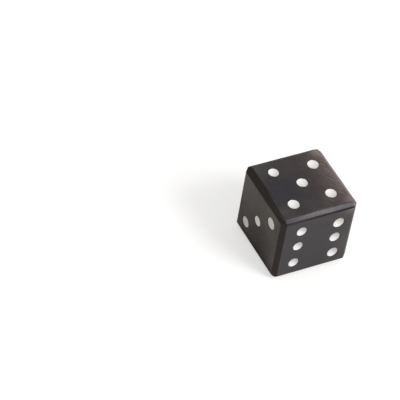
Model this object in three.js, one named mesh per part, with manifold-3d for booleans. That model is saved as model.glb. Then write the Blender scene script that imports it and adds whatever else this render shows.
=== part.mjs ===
// A hand-made gaming die: one block of dark horn with its edges filed to small flats, and 21 white
// spots, each a dished plug set in its own drilled pit. Millimetres, +Z up, origin at the middle of
// the face that the die stands on. The five is on top, the three faces -Y and the six faces +X.

import * as THREE from 'three';
import { mergeVertices } from 'three/addons/utils/BufferGeometryUtils.js';
import Module from 'manifold-3d';

const wasm = await Module();
wasm.setup();

// Block, sawn and honed by hand, so it is a little out of cube
const WIDTH = 20.0; // along X, from the one to the six
const DEPTH = 19.6; // along Y, from the three to the four
const HEIGHT = 19.2; // along Z, from the two to the five
const EDGE_FLAT = 1.2; // leg of the flat filed on an edge
const ARRIS_RADIUS = 0.4; // softened line between an edge flat and a face
const CORNER_CUT = 0.2; // how far each corner point is rubbed back

// White spots and the pits that they sit in
const SPOT_DIAMETER = 2.6;
const SPOT_INSET = 4.9; // from a side of the die to the nearest row or column of spots
const SPOT_LENGTH = 1.5; // straight side of a spot
const DISH_DEPTH = 0.4; // hollow in the top of a spot
const LIP_DROP = 0.05; // rim of a spot below the face around it
const GLUE_GAP = 0.05; // glue line round a spot and under it
const DRILL_POINT_ANGLE = 118; // full angle of the drill's tip, in degrees
const PIT_RIM_BREAK = 0.08; // worn edge round the mouth of a pit

const ROUND_SIDES = 32; // sides of a round spot or pit
const DISH_STEPS = 3; // rings in the dish of a spot
const ARRIS_STEPS = 3; // facets in a softened line
const CUTTER_RISE = 1; // how far a cutter stands clear of what it cuts

// How much more than EDGE_FLAT the file took off each edge, across and then up. The edges go
// anticlockwise from the one at right and up, with right and up being Y and Z for the edges along X,
// Z and X for those along Y, and X and Y for those along Z.
const EXTRA_FILING = {
  alongX: [[0.1, 0.1], [0.15, 0.1], [0.1, 0.2], [0.15, 0.1]],
  alongY: [[-0.1, 0.2], [0.15, 0.1], [0.1, 0.2], [0.1, 0.15]],
  alongZ: [[0.1, 0.15], [0.2, 0.1], [0.15, 0.15], [0, -0.3]],
};

// Spots of each face: column, row, how far the drill wandered from that place, right and then up, and
// how much wider than SPOT_DIAMETER the spot came out
const SPOT_PATTERNS = {
  one: [[0, 0, 0.2, -0.15, 0]],
  two: [
    [-1, 1, 0.2, -0.1, 0],
    [1, -1, -0.1, 0.3, 0.1],
  ],
  three: [
    [1, 1, -0.1, 0.05, 0.25],
    [0, 0, -0.4, 0.2, -0.1],
    [-1, -1, 0.05, 0.1, 0.1],
  ],
  four: [
    [-1, 1, 0.1, -0.3, 0],
    [1, 1, -0.2, -0.1, -0.05],
    [1, -1, 0.2, 0.3, 0.05],
    [-1, -1, 0.3, 0, 0],
  ],
  five: [
    [-1, 1, 0.45, 0.45, 0.1],
    [1, 1, -0.15, 0, 0.05],
    [0, 0, -0.25, 0.2, 0],
    [1, -1, 0.1, 0.05, 0.1],
    [-1, -1, -0.2, 0.35, -0.1],
  ],
  six: [
    [-1, 1, 0.35, 0.5, -0.1],
    [-1, 0, 0.15, 0.45, -0.2],
    [-1, -1, -0.15, -0.15, -0.1],
    [1, 1, 0.15, 0.05, 0.1],
    [1, 0, -0.05, 0.1, 0],
    [1, -1, 0.25, -0.35, 0.05],
  ],
};

const X = new THREE.Vector3(1, 0, 0);
const Y = new THREE.Vector3(0, 1, 0);
const Z = new THREE.Vector3(0, 0, 1);

// Faces as seen from outside: which way is right, which way is up and which way is out. Opposite
// faces add up to seven.
const FACES = {
  one: [Y.clone().negate(), Z, X.clone().negate()],
  two: [X, Y.clone().negate(), Z.clone().negate()],
  three: [X, Z, Y.clone().negate()],
  four: [X.clone().negate(), Z, Y],
  five: [X, Y, Z],
  six: [Y, Z, X],
};

// From the middle of the die to its face in one of those directions
const reach = (axis) => Math.abs(axis.dot(new THREE.Vector3(WIDTH, DEPTH, HEIGHT))) / 2;

const hornBlack = new THREE.MeshStandardMaterial({ color: 0x38332f, roughness: 0.45, metalness: 0 });
const spotWhite = new THREE.MeshStandardMaterial({ color: 0xe3dfd6, roughness: 0.35, metalness: 0 });

// Joining and cutting

function toSolid(geometry) {
  const bare = geometry.clone();
  bare.deleteAttribute('normal');
  bare.deleteAttribute('uv');
  const merged = mergeVertices(bare, 1e-5);
  return new wasm.Manifold(new wasm.Mesh({
    numProp: 3,
    vertProperties: new Float32Array(merged.attributes.position.array),
    triVerts: new Uint32Array(merged.index.array),
  }));
}

function toGeometry(solid) {
  const mesh = solid.getMesh();
  const geometry = new THREE.BufferGeometry();
  geometry.setAttribute('position', new THREE.BufferAttribute(mesh.vertProperties, 3));
  geometry.setIndex(new THREE.BufferAttribute(mesh.triVerts, 1));
  geometry.computeVertexNormals();
  return geometry;
}

// Block

// Rectangle round the origin with its corners cut off, the one at right and up first and then
// anticlockwise. Both ends of each cut are softened.
function filedOutline(across, high, extras) {
  const corners = [[1, 1], [-1, 1], [-1, -1], [1, -1]];
  const points = corners.flatMap(([sx, sy], i) => {
    const [acrossLeg, highLeg] = extras[i].map((extra) => EDGE_FLAT + extra);
    const onSide = new THREE.Vector2(sx * across / 2, sy * (high / 2 - highLeg));
    const onEnd = new THREE.Vector2(sx * (across / 2 - acrossLeg), sy * high / 2);
    return sx * sy > 0 ? [onSide, onEnd] : [onEnd, onSide];
  });
  const softened = ARRIS_RADIUS * Math.tan(Math.PI / 8);
  const outline = new THREE.Shape();
  points.forEach((point, i) => {
    const before = points[(i + points.length - 1) % points.length];
    const after = points[(i + 1) % points.length];
    const start = before.clone().sub(point).setLength(softened).add(point);
    const end = after.clone().sub(point).setLength(softened).add(point);
    if (i === 0) outline.moveTo(start.x, start.y);
    else outline.lineTo(start.x, start.y);
    outline.quadraticCurveTo(point.x, point.y, end.x, end.y);
  });
  outline.closePath();
  return outline;
}

// Bar along one axis, longer than the block, that carries the four filed edges along that axis
function filedBar(right, up, along, extras) {
  const half = reach(along) + CUTTER_RISE;
  const bar = new THREE.ExtrudeGeometry(filedOutline(2 * reach(right), 2 * reach(up), extras), {
    depth: 2 * half,
    steps: 1,
    bevelEnabled: false,
    curveSegments: ARRIS_STEPS,
  });
  bar.translate(0, 0, -half);
  bar.applyMatrix4(new THREE.Matrix4().makeBasis(right, up, along));
  return toSolid(bar);
}

// Octahedron whose eight sides rub back the corners, where three edge flats meet
function cornerCutter() {
  const cornerSum = reach(X) + reach(Y) + reach(Z) - 3 * EDGE_FLAT / 2;
  return toSolid(new THREE.OctahedronGeometry(cornerSum - CORNER_CUT * Math.sqrt(3)));
}

function block() {
  const alongX = filedBar(Y, Z, X, EXTRA_FILING.alongX);
  const alongY = filedBar(Z, X, Y, EXTRA_FILING.alongY);
  const alongZ = filedBar(X, Y, Z, EXTRA_FILING.alongZ);
  return alongX.intersect(alongY).intersect(alongZ).intersect(cornerCutter());
}

// Spots and pits, turned round +Z with the face of the die at z = 0

const shoulder = -LIP_DROP - SPOT_LENGTH;
const pointHeight = (radius) => radius / Math.tan(THREE.MathUtils.degToRad(DRILL_POINT_ANGLE / 2));

// Drilled pit with the cone of the drill's point at the bottom
function pitCutter(radius) {
  return new THREE.LatheGeometry([
    new THREE.Vector2(0, shoulder - GLUE_GAP - pointHeight(radius)),
    new THREE.Vector2(radius, shoulder - GLUE_GAP),
    new THREE.Vector2(radius, -PIT_RIM_BREAK),
    new THREE.Vector2(radius + PIT_RIM_BREAK, 0),
    new THREE.Vector2(radius + PIT_RIM_BREAK, CUTTER_RISE),
    new THREE.Vector2(0, CUTTER_RISE),
  ], ROUND_SIDES).rotateX(Math.PI / 2);
}

// Spot that fills its pit up to the glue line, with a ball-shaped hollow in its top
function spot(radius) {
  const ballRadius = (radius ** 2 + DISH_DEPTH ** 2) / (2 * DISH_DEPTH);
  const ballMiddle = -LIP_DROP - DISH_DEPTH + ballRadius;
  const dishAngle = Math.asin(radius / ballRadius);
  const profile = [
    new THREE.Vector2(0, shoulder - pointHeight(radius)),
    new THREE.Vector2(radius, shoulder),
    new THREE.Vector2(radius, -LIP_DROP),
  ];
  for (let step = DISH_STEPS - 1; step >= 0; step -= 1) {
    const angle = dishAngle * step / DISH_STEPS;
    profile.push(new THREE.Vector2(
      ballRadius * Math.sin(angle),
      ballMiddle - ballRadius * Math.cos(angle),
    ));
  }
  return new THREE.LatheGeometry(profile, ROUND_SIDES).rotateX(Math.PI / 2);
}

// Die

const die = new THREE.Group();
const centred = new THREE.Group();
centred.position.z = reach(Z);
die.add(centred);

let bodySolid = block();
for (const [name, pattern] of Object.entries(SPOT_PATTERNS)) {
  const [right, up, out] = FACES[name];
  const face = new THREE.Group();
  face.quaternion.setFromRotationMatrix(new THREE.Matrix4().makeBasis(right, up, out));
  face.position.copy(out).multiplyScalar(reach(out));
  face.updateMatrix();
  centred.add(face);
  const columnPlace = reach(right) - SPOT_INSET;
  const rowPlace = reach(up) - SPOT_INSET;
  pattern.forEach(([column, row, wanderRight, wanderUp, wider], i) => {
    const radius = (SPOT_DIAMETER + wider) / 2;
    const mesh = new THREE.Mesh(spot(radius), spotWhite);
    mesh.name = pattern.length === 1 ? `${name}_spot` : `${name}_spot_${i + 1}`;
    mesh.position.set(column * columnPlace + wanderRight, row * rowPlace + wanderUp, 0);
    mesh.updateMatrix();
    face.add(mesh);
    const pit = pitCutter(radius + GLUE_GAP).applyMatrix4(face.matrix.clone().multiply(mesh.matrix));
    bodySolid = bodySolid.subtract(toSolid(pit));
  });
}

const body = new THREE.Mesh(toGeometry(bodySolid), hornBlack);
body.name = 'die_body';
centred.add(body);

export default die;
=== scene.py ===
import math

import bmesh
import bpy
from mathutils import Matrix, Vector, noise


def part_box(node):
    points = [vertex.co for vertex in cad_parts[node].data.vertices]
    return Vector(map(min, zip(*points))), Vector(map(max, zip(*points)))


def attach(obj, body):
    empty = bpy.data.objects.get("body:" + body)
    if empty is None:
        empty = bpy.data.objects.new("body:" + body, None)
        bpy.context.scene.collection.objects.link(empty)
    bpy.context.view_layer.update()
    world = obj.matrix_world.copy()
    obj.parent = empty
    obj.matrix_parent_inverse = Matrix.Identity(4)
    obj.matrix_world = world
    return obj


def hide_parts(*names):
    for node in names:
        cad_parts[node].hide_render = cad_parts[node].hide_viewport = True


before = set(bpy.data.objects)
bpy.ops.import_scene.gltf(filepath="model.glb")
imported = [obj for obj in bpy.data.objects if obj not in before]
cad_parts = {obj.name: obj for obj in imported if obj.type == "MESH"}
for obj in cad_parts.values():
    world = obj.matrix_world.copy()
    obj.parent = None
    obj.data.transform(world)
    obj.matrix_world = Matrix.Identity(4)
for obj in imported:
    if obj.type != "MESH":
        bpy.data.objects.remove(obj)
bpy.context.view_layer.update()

# Camera
# It looks down on the die from half a metre away through a long lens, as the photograph was taken.
# The die stands right of the middle of the picture, so the camera isn't aimed at it.
MM = 0.001
body_low, body_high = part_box("die_body")
die_middle = (body_low + body_high) / 2
die_half = (body_high - body_low) / 2
camera_from_die = Vector((289.41, -211.95, 358.64)) * MM
camera_turn = (44.475, -6.66, 64.059)  # degrees

camera_data = bpy.data.cameras.new("camera")
camera_data.sensor_width = 36
camera_data.lens = 198.75
camera_data.clip_start = 0.01
camera_data.clip_end = 50
camera = bpy.data.objects.new("camera", camera_data)
camera.location = die_middle + camera_from_die
camera.rotation_euler = [math.radians(angle) for angle in camera_turn]
bpy.context.scene.collection.objects.link(camera)
bpy.context.scene.camera = camera


# Die body
# One block of dark horn, sawn and honed by hand. Every edge is filed to a flat, the corners are
# rubbed back, the top is worn softest round its sides, and each spot has its own drilled pit.
widest_rounding = 0.6 * MM  # of the line between the top and the flat at the six
top_share, other_share = 0.67, 0.23  # of that rounding, for the top's other lines and for the rest
rounding_steps = 5
near_end_cut = 0.65 * MM  # how much narrower the flat between the five and the three gets
full_cut_at = 6 * MM  # how far towards the six it has narrowed in full
four_rise = 0.2 * MM  # how much higher the flat between the five and the four starts
face_wave, edge_wave = 0.01, 0.05  # waviness of a face, and what an edge has more, in mm
wave_length = 3.5 * MM
edge_start, edge_span = 0.85, 0.1  # how far out the waves get bigger, in shares of the block
wave_cuts = range(-9, 10)  # where the block is cut for its waves, in mm from its middle

# Spots and their pits
spot_nodes = sorted(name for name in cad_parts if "_spot" in name)
lip_drop = 0.05 * MM  # rim of a spot below the face
glue_gap = 0.05 * MM
straight_side = 1.5 * MM
drill_point = 118  # full angle of the drill's tip, in degrees
drill_slope = 1 / math.tan(math.radians(drill_point / 2))
mouth_rounding = 0.1 * MM
cutter_rise = 1 * MM
round_sides = 64
sharp_bend = math.radians(35)  # a bend past it shades as a line


def widest_facet(mesh, direction):
    """The way out of the widest facet of the solid that looks that way, and a point on it."""
    near = [facet for facet in mesh.polygons if facet.normal.dot(direction) > 0.95]
    facet = max(near, key=lambda one: one.area)
    return facet.normal.copy(), facet.center - die_middle


def file_off(block, direction, point):
    """Cuts away what lies past a plane, and closes the cut."""
    cut = bmesh.ops.bisect_plane(
        block,
        geom=block.verts[:] + block.edges[:] + block.faces[:],
        plane_co=point,
        plane_no=direction,
        clear_outer=True,
    )
    rim = [part for part in cut["geom_cut"] if isinstance(part, bmesh.types.BMEdge)]
    bmesh.ops.contextual_create(block, geom=rim)


def turned(profile):
    """Closed shape turned round Z from a profile of (radius, height) with both ends on the axis."""
    shape = bmesh.new()
    first = shape.verts.new((0, 0, profile[0][1]))
    last = shape.verts.new((0, 0, profile[-1][1]))
    angles = [2 * math.pi * side / round_sides for side in range(round_sides)]
    rings = []
    for radius, height in profile[1:-1]:
        points = [(radius * math.cos(angle), radius * math.sin(angle), height) for angle in angles]
        rings.append([shape.verts.new(point) for point in points])
    for side in range(round_sides):
        after = (side + 1) % round_sides
        shape.faces.new((first, rings[0][after], rings[0][side]))
        for low, high in zip(rings, rings[1:]):
            shape.faces.new((low[side], low[after], high[after], high[side]))
        shape.faces.new((last, rings[-1][side], rings[-1][after]))
    return shape


def spot_place(node):
    """Where a spot sits, with +Z straight out of the die from the face round it, and its radius."""
    low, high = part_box(node)
    middle = (low + high) / 2
    span = high - low
    depth_axis = min(range(3), key=lambda axis: span[axis])
    out = Vector((0, 0, 0))
    out[depth_axis] = math.copysign(1, middle[depth_axis] - die_middle[depth_axis])
    middle[depth_axis] = die_middle[depth_axis] + out[depth_axis] * die_half[depth_axis]
    turn = out.to_track_quat("Z", "Y").to_matrix().to_4x4()
    return Matrix.Translation(middle) @ turn, max(span) / 2


def settled(piece):
    """A piece's mesh once its modifiers have done their work."""
    depsgraph = bpy.context.evaluated_depsgraph_get()
    mesh = bpy.data.meshes.new_from_object(piece.evaluated_get(depsgraph))
    piece.modifiers.clear()
    piece.data = mesh
    return mesh


# The flats and the rubbed corners lie where the solid's do.
cad_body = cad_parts["die_body"].data
block = bmesh.new()
bmesh.ops.create_cube(block, size=2, matrix=Matrix.Diagonal((*die_half, 1)))
signs = (-1, 1)
edge_directions = [Vector((a, b, 0)) for a in signs for b in signs]
edge_directions += [Vector((a, 0, b)) for a in signs for b in signs]
edge_directions += [Vector((0, a, b)) for a in signs for b in signs]
corner_directions = [Vector((a, b, c)) for a in signs for b in signs for c in signs]
for direction in edge_directions + corner_directions:
    file_off(block, *widest_facet(cad_body, direction.normalized()))

# The file ran out steeper at the near end of the flat between the five and the three, so that end
# is narrower on top. Cuts across the flat let its upper line bend. They are at half millimetres,
# because the waves' cuts are at whole ones. The flat between the five and the four is narrower too.
for step in range(7):
    strip = [
        face for face in block.faces
        if face.normal.z > 0.3 and face.normal.y < -0.3 and abs(face.normal.x) < 0.3
    ]
    parts = dict.fromkeys(part for face in strip for part in (face, *face.verts, *face.edges))
    bmesh.ops.bisect_plane(
        block, geom=list(parts), plane_co=((step - 0.5) * MM, 0, 0), plane_no=(1, 0, 0)
    )
hair = 0.01 * MM
near_three, near_five = -8.3 * MM, 7.5 * MM  # past these lie only the lines that move
for vert in block.verts:
    on_five = vert.co.z > die_half.z - hair
    on_four = vert.co.y > die_half.y - hair
    if on_five and vert.co.y < near_three:
        share = min(1, max(0, vert.co.x / full_cut_at)) ** 0.5
        vert.co.y -= near_end_cut * share
    if on_four and vert.co.z > near_five:
        vert.co.z += four_rise
block.normal_update()

# Wear rounds the lines between the faces and the flats.
softness = block.edges.layers.float.new("bevel_weight_edge")
for edge in block.edges:
    beside = [face.normal for face in edge.link_faces]
    if beside[0].dot(beside[1]) > 0.9:
        continue
    if not any(way.z > 0.99 for way in beside):
        edge[softness] = other_share
    elif any(way.x > 0.5 and way.z > 0.5 for way in beside):
        edge[softness] = 1.0
    else:
        edge[softness] = top_share
bmesh.ops.translate(block, verts=block.verts, vec=die_middle)
body_mesh = bpy.data.meshes.new("horn_block")
block.to_mesh(body_mesh)
block.free()
body = bpy.data.objects.new("horn_block", body_mesh)
bpy.context.scene.collection.objects.link(body)
soften = body.modifiers.new("soften", "BEVEL")
soften.limit_method = "WEIGHT"
soften.width = widest_rounding
soften.segments = rounding_steps

# The hone and the file leave the block a little wavy, most along its edges.
softened = settled(body)
block = bmesh.new()
block.from_mesh(softened)
for axis in range(3):
    direction = Vector((0, 0, 0))
    direction[axis] = 1
    for step in wave_cuts:
        bmesh.ops.bisect_plane(
            block,
            geom=block.verts[:] + block.edges[:] + block.faces[:],
            plane_co=die_middle + direction * step * MM,
            plane_no=direction,
        )
block.normal_update()
for vert in block.verts:
    out_shares = sorted(abs((vert.co - die_middle)[axis]) / die_half[axis] for axis in range(3))
    on_edge = min(1, max(0, (out_shares[1] - edge_start) / edge_span))
    wave = noise.noise(vert.co / wave_length) - 1
    vert.co += vert.normal * (face_wave + edge_wave * on_edge) * MM * wave
block.to_mesh(softened)
block.free()

# Each pit has the cone of the drill's point at its bottom and a rounded mouth.
drills = bmesh.new()
for node in spot_nodes:
    place, radius = spot_place(node)
    pit_radius = radius + glue_gap
    shoulder = -lip_drop - straight_side - glue_gap
    profile = [(0, shoulder - pit_radius * drill_slope), (pit_radius, shoulder)]
    for degrees in (0, 22.5, 45, 67.5, 90):
        angle = math.radians(degrees)
        profile.append((
            pit_radius + mouth_rounding * (1 - math.cos(angle)),
            mouth_rounding * (math.sin(angle) - 1),
        ))
    profile += [(pit_radius + mouth_rounding, cutter_rise), (0, cutter_rise)]
    one_drill = turned(profile)
    one_drill.transform(place)
    one_mesh = bpy.data.meshes.new("one_drill")
    one_drill.to_mesh(one_mesh)
    one_drill.free()
    drills.from_mesh(one_mesh)
    bpy.data.meshes.remove(one_mesh)
drill_mesh = bpy.data.meshes.new("drill")
drills.to_mesh(drill_mesh)
drills.free()
drill = bpy.data.objects.new("drill", drill_mesh)
bpy.context.scene.collection.objects.link(drill)
cut = body.modifiers.new("pits", "BOOLEAN")
cut.operation = "DIFFERENCE"
cut.solver = "EXACT"
cut.object = drill
drilled = settled(body)
bpy.data.objects.remove(drill)

# The cut leaves a few points on top of each other, which are joined so that no sliver is left.
slivers = bmesh.new()
slivers.from_mesh(drilled)
bmesh.ops.remove_doubles(slivers, verts=slivers.verts, dist=0.0005 * MM)
slivers.to_mesh(drilled)
slivers.free()
drilled.shade_smooth()
drilled.set_sharp_from_angle(angle=sharp_bend)
even = body.modifiers.new("even_shading", "WEIGHTED_NORMAL")
even.keep_sharp = True
even.weight = 80


def put(tree, kind, sockets=None, **settings):
    """Adds a node of a kind, with its settings, and with values or links for its sockets."""
    node = tree.nodes.new(kind)
    for name, value in settings.items():
        setattr(node, name, value)
    for name, value in (sockets or {}).items():
        if isinstance(value, bpy.types.NodeSocket):
            tree.links.new(value, node.inputs[name])
        else:
            node.inputs[name].default_value = value
    return node


def work(tree, operation, *values):
    """The result of one kind of sum on two or more values in turn."""
    result = values[0]
    for value in values[1:]:
        sum_node = put(tree, "ShaderNodeMath", {0: result, 1: value}, operation=operation)
        result = sum_node.outputs[0]
    return result


def times(tree, *values):
    return work(tree, "MULTIPLY", *values)


def plus(tree, *values):
    return work(tree, "ADD", *values)


def ease(tree, value, low, high, to_low=0.0, to_high=1.0):
    """A value eased from one range to another and held at both ends."""
    sockets = {
        "Value": value, "From Min": low, "From Max": high, "To Min": to_low, "To Max": to_high,
    }
    eased = put(tree, "ShaderNodeMapRange", sockets, interpolation_type="SMOOTHSTEP")
    return eased.outputs["Result"]


def between(tree, share, first, second):
    """A value between two others by a share."""
    mix = put(tree, "ShaderNodeMix", {0: share, 2: first, 3: second}, data_type="FLOAT")
    return mix.outputs[0]


def blend(tree, share, first, second):
    """One colour over another by a share, each a link or red, green and blue."""
    mix = put(tree, "ShaderNodeMix", {0: share}, data_type="RGBA")
    for place, colour in ((6, first), (7, second)):
        if isinstance(colour, bpy.types.NodeSocket):
            tree.links.new(colour, mix.inputs[place])
        else:
            mix.inputs[place].default_value = (*colour, 1)
    return mix.outputs[2]


def new_group(name, output, **inputs):
    """A shader group with its inputs, and one value that it puts out."""
    group = bpy.data.node_groups.new(name, "ShaderNodeTree")
    for label, value in inputs.items():
        kind = "NodeSocketVector" if isinstance(value, tuple) else "NodeSocketFloat"
        socket = group.interface.new_socket(label, in_out="INPUT", socket_type=kind)
        socket.default_value = value
    group.interface.new_socket(output, in_out="OUTPUT", socket_type="NodeSocketFloat")
    given = put(group, "NodeGroupInput").outputs
    return group, given, put(group, "NodeGroupOutput").inputs[output]


# Strokes of a hone, file or scraper: fine lines, long in the way that the tool went. The share
# says how much of the noise counts as a line.
tool_marks, given, result = new_group(
    "tool_marks", "Marks",
    Place=(0, 0, 0), Way=(0, 0, 0), Spacing=0.2, Length=6.0, Share=0.5,
)
turned_place = put(
    tool_marks, "ShaderNodeVectorRotate", {"Vector": given["Place"], "Rotation": given["Way"]},
    rotation_type="EULER_XYZ",
)
across = work(tool_marks, "DIVIDE", 1.0, given["Spacing"])
along = work(tool_marks, "DIVIDE", 1.0, given["Length"])
stretch = put(tool_marks, "ShaderNodeCombineXYZ", {"X": along, "Y": across, "Z": across})
stretched = put(
    tool_marks, "ShaderNodeVectorMath", {0: turned_place.outputs[0], 1: stretch.outputs[0]},
    operation="MULTIPLY",
)
lines = put(
    tool_marks, "ShaderNodeTexNoise", {"Vector": stretched.outputs[0], "Scale": 1.0, "Detail": 3.0}
)
least = work(tool_marks, "SUBTRACT", 0.72, times(tool_marks, given["Share"], 0.3))
most = plus(tool_marks, least, 0.12)
tool_marks.links.new(ease(tool_marks, lines.outputs["Fac"], least, most), result)

# Slow, cloudy changes of colour, as in horn, in a filling or in paper
clouds, given, result = new_group(
    "clouds", "Cloud", Place=(0, 0, 0), Size=4.0, Share=0.5, Softness=0.2
)
scale = work(clouds, "DIVIDE", 1.0, given["Size"])
puffs = put(
    clouds, "ShaderNodeTexNoise", {"Vector": given["Place"], "Scale": scale, "Detail": 4.0}
)
middle = work(clouds, "SUBTRACT", 0.8, times(clouds, given["Share"], 0.6))
least = work(clouds, "SUBTRACT", middle, given["Softness"])
most = plus(clouds, middle, given["Softness"])
clouds.links.new(ease(clouds, puffs.outputs["Fac"], least, most), result)


def grouped(tree, group, **sockets):
    """Places a group in a material and gives its result."""
    return put(tree, "ShaderNodeGroup", sockets, node_tree=group).outputs[0]


def close_to(tree, place, centre, full, none):
    """1 within one distance of a point and 0 past another, in mm."""
    away = put(tree, "ShaderNodeVectorMath", {0: place, 1: centre}, operation="DISTANCE")
    return ease(tree, away.outputs["Value"], full, none, 1.0, 0.0)


def new_material(name):
    """A material, its nodes, its shader, and the piece's own coordinates, also in mm."""
    material = bpy.data.materials.new(name)
    material.use_nodes = True
    tree = material.node_tree
    coordinates = put(tree, "ShaderNodeTexCoord").outputs
    in_mm = put(
        tree, "ShaderNodeVectorMath", {0: coordinates["Object"], 1: (1 / MM, 1 / MM, 1 / MM)},
        operation="MULTIPLY",
    )
    return material, tree, tree.nodes["Principled BSDF"], coordinates, in_mm.outputs[0]


# Horn. All places on it are in mm from the middle of the face that the die stands on.
horn, tree, shader, coordinates, in_mm = new_material("dark_horn")
x_mm, y_mm, z_mm = put(tree, "ShaderNodeSeparateXYZ", {"Vector": in_mm}).outputs
six_x, three_y, five_z = 10.0, -9.8, 19.2

# Which way the surface looks. A filed flat looks two ways at once, and a face only one.
facing = put(tree, "ShaderNodeVectorMath", {0: coordinates["Normal"]}, operation="ABSOLUTE")
x_look, y_look, z_look = put(tree, "ShaderNodeSeparateXYZ", {"Vector": facing.outputs[0]}).outputs
largest = work(tree, "MAXIMUM", x_look, y_look, z_look)
smallest = work(tree, "MINIMUM", x_look, y_look, z_look)
second = work(tree, "SUBTRACT", plus(tree, x_look, y_look, z_look), largest, smallest)
filed = ease(tree, second, 0.25, 0.55)

# Heart of the horn: slate black with slow changes and small brown patches, browner on the three
# and greyer on the six
slate, brown_slate = (0.029, 0.026, 0.033), (0.044, 0.034, 0.035)
patch_brown, three_brown = (0.052, 0.041, 0.040), (0.037, 0.029, 0.023)
six_grey = (0.049, 0.043, 0.047)
slow = grouped(tree, clouds, Place=in_mm, Size=6.0, Share=0.5, Softness=0.25)
patches = grouped(tree, clouds, Place=in_mm, Size=1.6, Share=0.5, Softness=0.2)
heart = blend(tree, slow, slate, brown_slate)
heart = blend(tree, times(tree, patches, 0.4), heart, patch_brown)
on_three = ease(tree, y_mm, -8.6, -9.7)
on_six = ease(tree, x_mm, 8.8, 9.9)
heart = blend(tree, on_three, heart, three_brown)
heart = blend(tree, times(tree, on_six, 0.7), heart, six_grey)

# Places where it is warmer, paler or darker
warm, warmer, pale = (0.062, 0.048, 0.043), (0.100, 0.080, 0.074), (0.090, 0.076, 0.068)
dim_slate, blue_slate = (0.032, 0.029, 0.034), (0.022, 0.024, 0.034)
dark_rim, dark_brown, darkest = (0.015, 0.013, 0.015), (0.016, 0.009, 0.006), (0.011, 0.003, 0.000)
places = [  # middle, how far it is full, how far it reaches, share, colour
    ((7.2, -7.8, five_z), 0.5, 3.4, 0.6, warm),
    ((8.0, 0.5, five_z), 1.0, 5.0, 0.5, warm),
    ((-8.5, -1.0, five_z), 2.0, 7.0, 0.3, warm),
    # Painted light: the three is painted paler high at its left.
    ((-9.0, three_y, 16.0), 1.0, 8.0, 0.85, pale),
    ((5.3, three_y, 18.0), 0.5, 4.0, 0.65, pale),
    ((7.6, three_y, 5.0), 0.5, 4.0, 0.3, pale),
    ((5.8, three_y, 9.3), 0.5, 3.5, 0.6, dark_brown),
    ((six_x, 0.0, 5.0), 2.0, 9.0, 0.5, dim_slate),
    ((six_x, 9.0, 8.0), 1.0, 5.0, 0.35, pale),
    ((1.0, -6.0, five_z), 1.5, 6.0, 0.5, blue_slate),
    ((4.6, -9.2, five_z), 0.2, 2.8, 0.55, dark_rim),
    ((5.8, 3.9, five_z), 0.3, 2.6, 0.6, warmer),
    ((1.3, 5.4, five_z), 0.3, 2.6, 0.5, warmer),
]
for centre, full, none, share, tone in places:
    there = close_to(tree, in_mm, centre, full, none)
    heart = blend(tree, times(tree, there, share), heart, tone)

# A brown band on the far half of the top, painted shade as the darkest place low on the three,
# wider than high, and long draw marks down the three
band = times(tree, ease(tree, y_mm, 0.5, 3.5), ease(tree, z_mm, 17.0, 19.0, 0.0, 0.4))
heart = blend(tree, band, heart, (0.070, 0.045, 0.037))
squeezed = put(tree, "ShaderNodeVectorMath", {0: in_mm, 1: (0.65, 1, 1)}, operation="MULTIPLY")
low_shade = close_to(tree, squeezed.outputs[0], (0.0, three_y, 1.6), 1.6, 7.2)
heart = blend(tree, times(tree, low_shade, 0.9), heart, darkest)
drawn = grouped(
    tree, tool_marks, Place=in_mm, Way=(0, 0.7, 0), Spacing=0.45, Length=5.0, Share=0.55
)
drawn = times(tree, drawn, on_three, ease(tree, z_mm, 13.0, 6.0, 0.1, 0.3))
heart = blend(tree, drawn, heart, (0.085, 0.066, 0.056))

# Outermost layers: pale brown and streaky. They lie on the far side, most at the top and palest at
# two corners, and curve a little round the core of the horn.
streak_dark, streak_light = (0.116, 0.089, 0.081), (0.192, 0.152, 0.141)
fibres = grouped(
    tree, tool_marks, Place=in_mm, Way=(0, 0, -0.5), Spacing=0.4, Length=3.0, Share=0.6
)
streaky = blend(tree, fibres, streak_dark, streak_light)
one_corner = close_to(tree, in_mm, (-9.5, 9.5, five_z), 1.0, 5.0)
streaky = blend(tree, one_corner, streaky, (0.260, 0.205, 0.175))
six_corner = close_to(tree, in_mm, (9.5, 8.5, five_z), 0.5, 4.0)
streaky = blend(tree, times(tree, six_corner, 0.7), streaky, (0.260, 0.212, 0.200))
core = (0.0, -90.0, 0.0)
level = put(tree, "ShaderNodeVectorMath", {0: in_mm, 1: (1, 1, 0)}, operation="MULTIPLY")
from_core = put(
    tree, "ShaderNodeVectorMath", {0: level.outputs[0], 1: core}, operation="DISTANCE"
)
layer = plus(tree, from_core.outputs["Value"], times(tree, slow, 1.5))
outer = put(tree, "ShaderNodeMapRange", {"Value": layer, "From Min": 92.0, "From Max": 99.2})
near_top = ease(tree, z_mm, 14.5, 19.4, 0.1, 1.0)
pale_share = times(tree, work(tree, "POWER", outer.outputs["Result"], 2.9), near_top)
colour = blend(tree, pale_share, heart, streaky)

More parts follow.
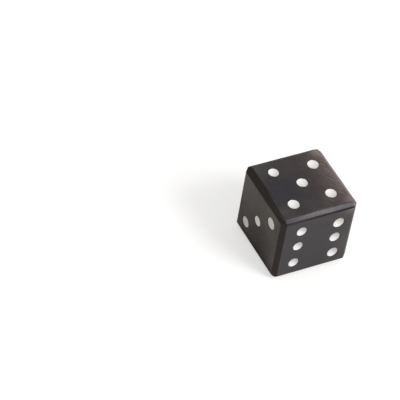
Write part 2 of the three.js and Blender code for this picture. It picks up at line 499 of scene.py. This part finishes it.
# Honing scratches and longer score marks. Both lie in the face that they are on, so on the six and
# the three the coordinates are laid into that face.
in_six = put(tree, "ShaderNodeCombineXYZ", {"X": y_mm, "Y": z_mm, "Z": x_mm}).outputs[0]
in_three = put(tree, "ShaderNodeCombineXYZ", {"X": x_mm, "Y": z_mm, "Z": y_mm}).outputs[0]
over_six, over_three = ease(tree, x_look, 0.80, 0.82), ease(tree, y_look, 0.80, 0.82)
on_face = blend(tree, over_three, blend(tree, over_six, in_mm, in_six), in_three)
honed = work(
    tree, "MAXIMUM",
    grouped(
        tree, tool_marks, Place=on_face, Way=(0, 0, -0.9), Spacing=0.1, Length=2.5, Share=0.35
    ),
    grouped(
        tree, tool_marks, Place=on_face, Way=(0, 0, 0.25), Spacing=0.08, Length=2.0, Share=0.3
    ),
)
scored = work(
    tree, "MAXIMUM",
    grouped(
        tree, tool_marks, Place=on_face, Way=(0.1, 0.1, -0.7), Spacing=0.26, Length=5.0, Share=0.5
    ),
    grouped(
        tree, tool_marks, Place=on_face, Way=(0.1, -0.1, -0.3), Spacing=0.28, Length=4.0, Share=0.4
    ),
)
on_sides = ease(tree, work(tree, "MAXIMUM", over_six, over_three), 0.0, 1.0, 1.0, 0.4)
on_near_half = ease(tree, y_mm, -3.0, 2.0, 0.5, 1.0)
scored = times(tree, scored, work(tree, "MINIMUM", on_sides, on_near_half))
dust = blend(tree, pale_share, (0.074, 0.066, 0.068), (0.300, 0.250, 0.235))
scuffed = blend(tree, times(tree, honed, 0.42), colour, dust)
scuffed = blend(tree, times(tree, scored, 0.75), scuffed, dust)

# File strokes, which run along each flat
strokes = [
    grouped(tree, tool_marks, Place=in_mm, Way=way, Spacing=0.12, Length=5.0, Share=0.6)
    for way in ((0, 0, 0.03), (0, 0, math.pi / 2), (0, math.pi / 2, 0))
]
file_marks = strokes[0]
for look, along_it in ((y_look, strokes[1]), (z_look, strokes[2])):
    runs_along = ease(tree, look, 0.1, 0.3, 1.0, 0.0)
    file_marks = between(tree, runs_along, file_marks, along_it)

# Flats: fresh dark horn, with painted shade that makes the upright ones darkest
raw_dark, raw_light = (0.021, 0.016, 0.013), (0.038, 0.028, 0.023)
raw_shaded_upright = (0.012, 0.004, 0.000)
raw = blend(tree, times(tree, file_marks, 0.5), raw_dark, raw_light)
upright_shade = ease(tree, z_look, 0.3, 0.1)
raw = blend(tree, upright_shade, raw, raw_shaded_upright)

# The flat between the five and the six is scraped, and painted lightest as a highlight, a little
# rosy past its middle and darker at its far end, where the painted highlight ends.
five_six = times(
    tree, ease(tree, plus(tree, x_mm, z_mm), 25.0, 27.5), ease(tree, y_look, 0.5, 0.2)
)
filed_sheen = blend(tree, file_marks, (0.024, 0.016, 0.021), (0.070, 0.058, 0.066))
rosy_sheen = times(tree, ease(tree, y_mm, -4.0, 1.0), ease(tree, y_mm, 4.5, 2.0, 0.0, 0.36))
filed_sheen = blend(tree, rosy_sheen, filed_sheen, (0.096, 0.073, 0.083))
filed_sheen = blend(tree, ease(tree, y_mm, 3.0, 6.0, 0.0, 0.45), filed_sheen, (0.018, 0.008, 0.010))
raw = blend(tree, five_six, raw, filed_sheen)

# The flats round the four are worn pale, most along the lower line of the one under the five.
worn_pale, worn_palest = (0.145, 0.120, 0.109), (0.300, 0.260, 0.235)
worn_shaded_upright = (0.080, 0.064, 0.056)
round_four = ease(tree, y_mm, 7.6, 9.0)
rubbed = times(
    tree, ease(tree, z_mm, 18.9, 18.2), ease(tree, z_mm, 16.0, 17.0),
    ease(tree, patches, 0.0, 1.0, 1.0, 0.6),
)
worn = blend(tree, rubbed, worn_pale, worn_palest)
# Painted shade: the upright worn flat is darker.
worn = blend(tree, upright_shade, worn, worn_shaded_upright)
raw = blend(tree, round_four, raw, worn)
surface = blend(tree, filed, scuffed, raw)

# Painted shade: a near-black line under the flat between the five and the six, also duller
low_on_flat = times(tree, ease(tree, z_mm, 18.40, 18.31), ease(tree, z_mm, 17.99, 18.10))
shade_line = times(
    tree, low_on_flat, ease(tree, x_mm, 9.5, 9.7), ease(tree, y_mm, -9.0, 0.0, 0.42, 0.72)
)
surface = blend(tree, shade_line, surface, (0.002, 0.002, 0.002))
tree.links.new(surface, shader.inputs["Base Color"])

# Polish: satin on the faces, duller in scratches and low on the three. The flats are glossier, but
# dull where they are worn, at the near end and on the side of the one.
sawn = close_to(tree, in_mm, (1.5, three_y, 3.0), 3.0, 10.0)
low_edge = times(
    tree, on_three, ease(tree, z_mm, 3.6, 1.8, 0.0, 0.14), ease(tree, x_mm, -7.5, -6.0)
)
face_rough = plus(
    tree, between(tree, slow, 0.42, 0.52),
    times(tree, honed, 0.12), times(tree, sawn, 0.14), low_edge,
)
near_end = ease(tree, y_mm, -3.0, -9.0)
flat_rough = plus(
    tree, between(tree, round_four, 0.26, 0.7),
    times(tree, near_end, 0.14), times(tree, five_six, 0.02),
)
flat_rough = work(tree, "MAXIMUM", flat_rough, ease(tree, x_mm, -8.2, -9.2, 0.0, 0.75))
rough = plus(tree, between(tree, filed, face_rough, flat_rough), times(tree, shade_line, 0.5))
tree.links.new(rough, shader.inputs["Roughness"])
shader.inputs["Specular IOR Level"].default_value = 0.2

# Scratches are cut in, and the file leaves ridges.
scratch_depth = plus(tree, times(tree, honed, -0.4), times(tree, scored, -0.6))
relief = between(tree, filed, scratch_depth, file_marks)
bump = put(tree, "ShaderNodeBump", {"Strength": 0.35, "Distance": 0.02 * MM, "Height": relief})
tree.links.new(bump.outputs["Normal"], shader.inputs["Normal"])

body.data.materials.clear()
body.data.materials.append(horn)
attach(body, "root")
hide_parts("die_body")


# White spots
# Each is a plug of white filling in its own pit, with its top scraped out to a shallow dish, so its
# rim lies a hair below the horn.
dish_depth = 0.4 * MM
dish_steps = 14
rim_break = 0.02 * MM  # how far in the rim's sharp edge is broken
rim_break_depth = 0.03 * MM

# Filling: ivory white with slow changes and fine scrape marks
white, tree, shader, coordinates, in_mm = new_material("spot_white")
ivory_clouds = grouped(tree, clouds, Place=in_mm, Size=1.1, Share=0.5, Softness=0.3)
scraped = grouped(
    tree, tool_marks, Place=in_mm, Way=(0.4, 0.9, 0.2), Spacing=0.09, Length=1.2, Share=0.4
)
ivory = blend(tree, ivory_clouds, (0.78, 0.75, 0.69), (0.84, 0.83, 0.81))
ivory = blend(tree, times(tree, scraped, 0.3), ivory, (0.62, 0.58, 0.52))

# Painted shade: a dish is painted a warm, shaded tone where it looks down or towards the three. On
# the six it is painted a shaded grey where it looks down, and a cool lit white where it looks up.
tilts = put(tree, "ShaderNodeSeparateXYZ", {"Vector": coordinates["Normal"]})
x_tilt, y_tilt, z_tilt = tilts.outputs
ivory = blend(tree, ease(tree, z_tilt, 0.0, -0.35, 0.0, 0.7), ivory, (0.74, 0.66, 0.56))
ivory = blend(tree, ease(tree, y_tilt, -0.6, -0.9, 0.0, 0.3), ivory, (0.82, 0.68, 0.54))
on_six = ease(tree, x_tilt, 0.6, 0.9)
to_corner = plus(tree, y_tilt, z_tilt)
shaded_dish = times(tree, on_six, ease(tree, to_corner, 0.35, -0.35, 0.0, 0.6))
ivory = blend(tree, shaded_dish, ivory, (0.58, 0.57, 0.56))
lit_dish = times(tree, on_six, ease(tree, to_corner, 0.1, 0.5, 0.0, 0.8))
ivory = blend(tree, lit_dish, ivory, (0.76, 0.80, 0.88))

# The spots on the three differ: the low one darker, the middle one whiter, the high one warmer.
three_fillings = [  # middle, share, colour
    ((-5.0, three_y, 5.0), 0.5, (0.68, 0.66, 0.62)),
    ((-0.4, three_y, 9.8), 0.8, (0.88, 0.87, 0.84)),
    ((5.0, three_y, 14.3), 0.4, (0.88, 0.79, 0.69)),
]
for centre, share, tone in three_fillings:
    there = close_to(tree, in_mm, centre, 1.6, 1.8)
    ivory = blend(tree, times(tree, there, share), ivory, tone)
tree.links.new(ivory, shader.inputs["Base Color"])
tree.links.new(between(tree, ivory_clouds, 0.38, 0.5), shader.inputs["Roughness"])
bump = put(tree, "ShaderNodeBump", {"Strength": 0.3, "Distance": 0.01 * MM, "Height": scraped})
tree.links.new(bump.outputs["Normal"], shader.inputs["Normal"])

for node in spot_nodes:
    place, radius = spot_place(node)
    shoulder = -lip_drop - straight_side
    ball_radius = (radius**2 + dish_depth**2) / (2 * dish_depth)
    dish_angle = math.asin(radius / ball_radius)
    profile = [
        (0, shoulder - radius * drill_slope),
        (radius, shoulder),
        (radius, -lip_drop - rim_break_depth),
        (radius - rim_break, -lip_drop),
    ]
    for step in range(dish_steps - 1, -1, -1):
        angle = dish_angle * step / dish_steps
        height = -lip_drop - dish_depth + ball_radius * (1 - math.cos(angle))
        profile.append((ball_radius * math.sin(angle), height))
    plug = turned(profile)
    plug.transform(place)
    plug_mesh = bpy.data.meshes.new("white_" + node)
    plug.to_mesh(plug_mesh)
    plug.free()
    plug_mesh.shade_smooth()
    plug_mesh.set_sharp_from_angle(angle=sharp_bend)
    plug_mesh.materials.append(white)
    spot = bpy.data.objects.new("white_" + node, plug_mesh)
    bpy.context.scene.collection.objects.link(spot)
    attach(spot, "root")
    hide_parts(node)


# Table
# A plain table top under matt white paper, flat and much larger than the die. It shows white and
# keeps the die's shadow.
table_reach = 4.0
floor_mesh = bpy.data.meshes.new("table_top")
corners = [
    (-table_reach, -table_reach, 0),
    (table_reach, -table_reach, 0),
    (table_reach, table_reach, 0),
    (-table_reach, table_reach, 0),
]
floor_mesh.from_pydata(corners, [], [(0, 1, 2, 3)])
floor = bpy.data.objects.new("table_top", floor_mesh)
bpy.context.scene.collection.objects.link(floor)
paper, tree, shader, coordinates, in_mm = new_material("white_table")
paper_clouds = grouped(tree, clouds, Place=in_mm, Size=60.0, Share=0.5, Softness=0.4)
paper_colour = blend(tree, paper_clouds, (0.56, 0.545, 0.52), (0.59, 0.575, 0.55))
tree.links.new(paper_colour, shader.inputs["Base Color"])
shader.inputs["Roughness"].default_value = 0.9

# What the camera sees of the paper, straight, in a gloss or through glass, shows white. Its glow
# lights nothing.
path = put(tree, "ShaderNodeLightPath").outputs
seen = work(
    tree, "MAXIMUM",
    path["Is Camera Ray"], path["Is Glossy Ray"], path["Is Transmission Ray"],
)
shader.inputs["Emission Color"].default_value = (1, 1, 1, 1)
tree.links.new(times(tree, seen, 0.54), shader.inputs["Emission Strength"])
floor_mesh.materials.append(paper)


# Room and lamp
# A pale room, dimmest low down, with one large soft lamp high up at the back right. The lamp is a
# square soft box, aimed at the die, and the walls fill the shadows that it leaves.
lamp_side = 0.34
lamp_distance = 0.8
lamp_azimuth, lamp_height = math.radians(33), math.radians(42)

world = bpy.data.worlds.new("pale_room")
world.use_nodes = True
bpy.context.scene.world = world
tree = world.node_tree
around = put(tree, "ShaderNodeTexCoord").outputs["Generated"]
up = put(tree, "ShaderNodeSeparateXYZ", {"Vector": around}).outputs["Z"]
walls = blend(tree, ease(tree, up, 0.1, 0.9), (0.52, 0.48, 0.42), (0.58, 0.60, 0.63))
tree.links.new(walls, tree.nodes["Background"].inputs["Color"])

lamp_data = bpy.data.lights.new("soft_lamp", "AREA")
lamp_data.shape = "SQUARE"
lamp_data.size = lamp_side
lamp_data.energy = 4.4
lamp_data.color = (0.94, 0.97, 1.0)
lamp = bpy.data.objects.new("soft_lamp", lamp_data)
lamp_way = Vector((
    math.cos(lamp_azimuth) * math.cos(lamp_height),
    math.sin(lamp_azimuth) * math.cos(lamp_height),
    math.sin(lamp_height),
))
lamp.location = die_middle + lamp_way * lamp_distance
lamp.rotation_euler = (-lamp_way).to_track_quat("-Z", "Y").to_euler()
bpy.context.scene.collection.objects.link(lamp)

bpy.context.scene.view_settings.view_transform = "Standard"
